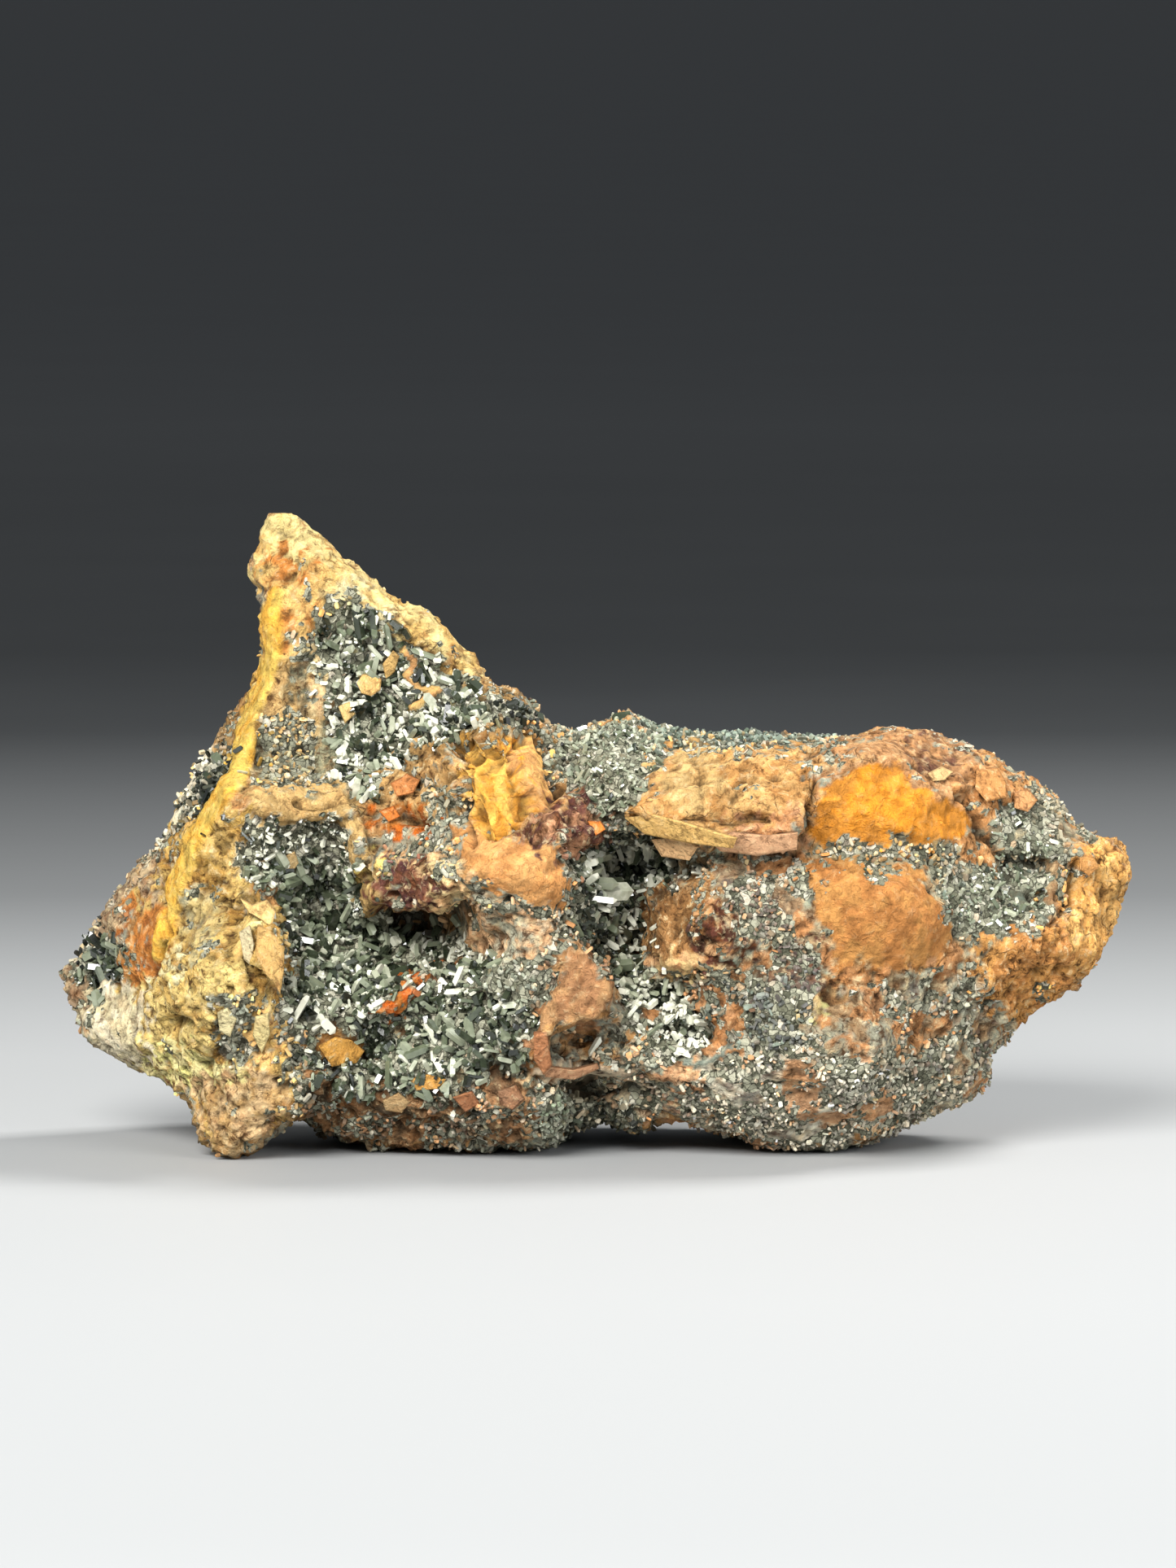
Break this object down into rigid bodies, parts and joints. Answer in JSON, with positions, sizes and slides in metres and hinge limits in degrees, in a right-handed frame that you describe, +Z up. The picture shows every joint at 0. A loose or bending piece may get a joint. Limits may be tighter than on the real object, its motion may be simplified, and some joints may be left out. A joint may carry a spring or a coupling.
{
  "type": "olivenite specimen",
  "caption": "Rusty, cavernous piece of gossan with a tall fin at one end, its hollows lined with dark green olivenite crystals, standing on flats of its own underside.",
  "frame": {"origin": "middle of the bounding box's underside, on the surface that the specimen stands on", "axes": "+X along the specimen's length, away from the end with the fin; -Y out of the front, the side with the crystal-lined hollows; +Z up"},
  "size_m": [0.0452, 0.0222, 0.0264],
  "materials": {
    "gossan": "earthy, ochre to rust brown",
    "olivenite": "glassy, dark olive green"
  },
  "bodies": {
    "root": {"gossan_matrix": "gossan", "olivenite_crust_fin": "olivenite", "olivenite_crust_basin": "olivenite", "olivenite_crust_cleft": "olivenite", "olivenite_crust_foot": "olivenite", "olivenite_crust_mound": "olivenite", "olivenite_crust_shoulder": "olivenite", "olivenite_crust_flank": "olivenite", "olivenite_crust_tip": "olivenite", "olivenite_crust_back": "olivenite"}
  },
  "joints": []
}
